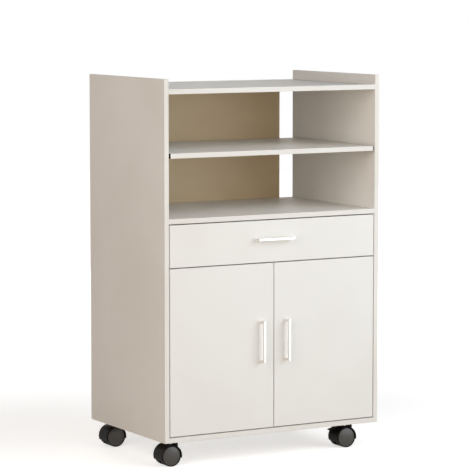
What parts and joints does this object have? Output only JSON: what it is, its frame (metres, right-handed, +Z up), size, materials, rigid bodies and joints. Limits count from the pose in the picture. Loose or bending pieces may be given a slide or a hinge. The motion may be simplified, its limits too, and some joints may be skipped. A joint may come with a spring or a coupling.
{
  "type": "microwave cart",
  "caption": "Kitchen microwave cart with raised sides, open shelves, a drawer over a two-door cupboard and swivel casters.",
  "frame": {"origin": "on the floor, at the middle of the bounding box in X and Y", "axes": "+X to the right as seen by a person facing the doors, +Y from the front to the back (the front faces -Y), +Z up"},
  "size_m": [0.6, 0.41, 0.928],
  "materials": {
    "white_board": "satin",
    "white_front": "satin",
    "white_drawer_board": "satin",
    "back_board": "matte",
    "white_handle": "gloss",
    "white_runner": "satin",
    "roller_plastic": "satin",
    "plated_steel": "satin",
    "hinge_steel": "satin",
    "cam_zinc": "satin",
    "dowel_wood": "matte",
    "caster_steel": "satin",
    "black_plastic": "satin",
    "caster_axle_steel": "satin",
    "black_wheel": "satin"
  },
  "bodies": {
    "carcass": {"left_side_panel": "white_board", "right_side_panel": "white_board", "top_panel": "white_board", "adjustable_shelf": "white_board", "shelf_pins": "plated_steel", "middle_shelf": "white_board", "front_rail": "white_board", "bottom_panel": "white_board", "back_panel": "back_board", "back_panel_nails": "plated_steel", "cam_locks": "cam_zinc", "cam_bolts": "plated_steel", "dowels": "dowel_wood", "left_cabinet_runner": "white_runner", "right_cabinet_runner": "white_runner", "carcass_screws": "plated_steel", "hinge_plates": "hinge_steel", "hinge_arms": "hinge_steel", "hinge_pins": "plated_steel", "caster_plates": "caster_steel"},
    "drawer": {"drawer_front": "white_front", "drawer_left_side": "white_drawer_board", "drawer_right_side": "white_drawer_board", "drawer_back": "white_drawer_board", "drawer_bottom": "back_board", "drawer_handle": "white_handle", "drawer_handle_screws": "plated_steel", "drawer_cam_locks": "cam_zinc", "drawer_cam_bolts": "plated_steel", "left_drawer_runner": "white_runner", "right_drawer_runner": "white_runner", "drawer_runner_screws": "plated_steel"},
    "cabinet_roller_pair": {"cabinet_rollers": "roller_plastic"},
    "drawer_roller_pair": {"drawer_rollers": "roller_plastic"},
    "left_door": {"left_door_panel": "white_front", "left_door_handle": "white_handle", "left_door_handle_screws": "plated_steel", "left_door_hinge_cups": "hinge_steel"},
    "right_door": {"right_door_panel": "white_front", "right_door_handle": "white_handle", "right_door_handle_screws": "plated_steel", "right_door_hinge_cups": "hinge_steel"},
    "front_left_caster": {"front_left_caster_hood": "black_plastic", "front_left_caster_axle": "caster_axle_steel"},
    "front_left_front_wheel_body": {"front_left_front_wheel": "black_wheel"},
    "front_left_rear_wheel_body": {"front_left_rear_wheel": "black_wheel"},
    "front_right_caster": {"front_right_caster_hood": "black_plastic", "front_right_caster_axle": "caster_axle_steel"},
    "front_right_front_wheel_body": {"front_right_front_wheel": "black_wheel"},
    "front_right_rear_wheel_body": {"front_right_rear_wheel": "black_wheel"},
    "front_right_brake": {"front_right_brake_pedal": "black_plastic"},
    "rear_left_caster": {"rear_left_caster_hood": "black_plastic", "rear_left_caster_axle": "caster_axle_steel"},
    "rear_left_front_wheel_body": {"rear_left_front_wheel": "black_wheel"},
    "rear_left_rear_wheel_body": {"rear_left_rear_wheel": "black_wheel"},
    "rear_right_caster": {"rear_right_caster_hood": "black_plastic", "rear_right_caster_axle": "caster_axle_steel"},
    "rear_right_front_wheel_body": {"rear_right_front_wheel": "black_wheel"},
    "rear_right_rear_wheel_body": {"rear_right_rear_wheel": "black_wheel"},
    "rear_right_brake": {"rear_right_brake_pedal": "black_plastic"}
  },
  "joints": [
    {"name": "drawer_slide", "type": "slide", "parent": "carcass", "child": "drawer", "axis": [0, -1, 0], "range_m": [0, 0.26]},
    {"name": "left_door_hinge", "type": "hinge", "parent": "carcass", "child": "left_door", "pos_m": [-0.2765, -0.1813, 0.2785], "axis": [0, 0, -1], "range_deg": [0, 95]},
    {"name": "right_door_hinge", "type": "hinge", "parent": "carcass", "child": "right_door", "pos_m": [0.2765, -0.1813, 0.2785], "axis": [0, 0, 1], "range_deg": [0, 95]},
    {"name": "cabinet_roller_spin", "type": "hinge", "parent": "carcass", "child": "cabinet_roller_pair", "pos_m": [0, -0.158, 0.5081], "axis": [1, 0, 0], "continuous": true},
    {"name": "drawer_roller_spin", "type": "hinge", "parent": "drawer", "child": "drawer_roller_pair", "pos_m": [0, 0.166, 0.5081], "axis": [1, 0, 0], "continuous": true},
    {"name": "front_left_swivel", "type": "hinge", "parent": "carcass", "child": "front_left_caster", "pos_m": [-0.2475, -0.137, 0.05], "axis": [0, 0, 1], "continuous": true},
    {"name": "front_left_front_wheel_spin", "type": "hinge", "parent": "front_left_caster", "child": "front_left_front_wheel_body", "pos_m": [-0.2665, -0.137, 0.025], "axis": [0, 1, 0], "continuous": true},
    {"name": "front_left_rear_wheel_spin", "type": "hinge", "parent": "front_left_caster", "child": "front_left_rear_wheel_body", "pos_m": [-0.2665, -0.137, 0.025], "axis": [0, 1, 0], "continuous": true},
    {"name": "front_right_swivel", "type": "hinge", "parent": "carcass", "child": "front_right_caster", "pos_m": [0.2475, -0.137, 0.05], "axis": [0, 0, 1], "continuous": true},
    {"name": "front_right_front_wheel_spin", "type": "hinge", "parent": "front_right_caster", "child": "front_right_front_wheel_body", "pos_m": [0.2285, -0.137, 0.025], "axis": [0, 1, 0], "continuous": true},
    {"name": "front_right_rear_wheel_spin", "type": "hinge", "parent": "front_right_caster", "child": "front_right_rear_wheel_body", "pos_m": [0.2285, -0.137, 0.025], "axis": [0, 1, 0], "continuous": true},
    {"name": "front_right_brake_press", "type": "hinge", "parent": "front_right_caster", "child": "front_right_brake", "pos_m": [0.2155, -0.137, 0.0515], "axis": [0, -1, 0], "range_deg": [0, 12]},
    {"name": "rear_left_swivel", "type": "hinge", "parent": "carcass", "child": "rear_left_caster", "pos_m": [-0.2475, 0.155, 0.05], "axis": [0, 0, 1], "continuous": true},
    {"name": "rear_left_front_wheel_spin", "type": "hinge", "parent": "rear_left_caster", "child": "rear_left_front_wheel_body", "pos_m": [-0.2665, 0.155, 0.025], "axis": [0, 1, 0], "continuous": true},
    {"name": "rear_left_rear_wheel_spin", "type": "hinge", "parent": "rear_left_caster", "child": "rear_left_rear_wheel_body", "pos_m": [-0.2665, 0.155, 0.025], "axis": [0, 1, 0], "continuous": true},
    {"name": "rear_right_swivel", "type": "hinge", "parent": "carcass", "child": "rear_right_caster", "pos_m": [0.2475, 0.155, 0.05], "axis": [0, 0, 1], "continuous": true},
    {"name": "rear_right_front_wheel_spin", "type": "hinge", "parent": "rear_right_caster", "child": "rear_right_front_wheel_body", "pos_m": [0.2285, 0.155, 0.025], "axis": [0, 1, 0], "continuous": true},
    {"name": "rear_right_rear_wheel_spin", "type": "hinge", "parent": "rear_right_caster", "child": "rear_right_rear_wheel_body", "pos_m": [0.2285, 0.155, 0.025], "axis": [0, 1, 0], "continuous": true},
    {"name": "rear_right_brake_press", "type": "hinge", "parent": "rear_right_caster", "child": "rear_right_brake", "pos_m": [0.2155, 0.155, 0.0515], "axis": [0, -1, 0], "range_deg": [0, 12]}
  ],
  "couplings": [
    {"joint": "cabinet_roller_spin", "follows": "drawer_slide", "rad_per_m": 142.86},
    {"joint": "drawer_roller_spin", "follows": "drawer_slide", "rad_per_m": 142.86}
  ]
}
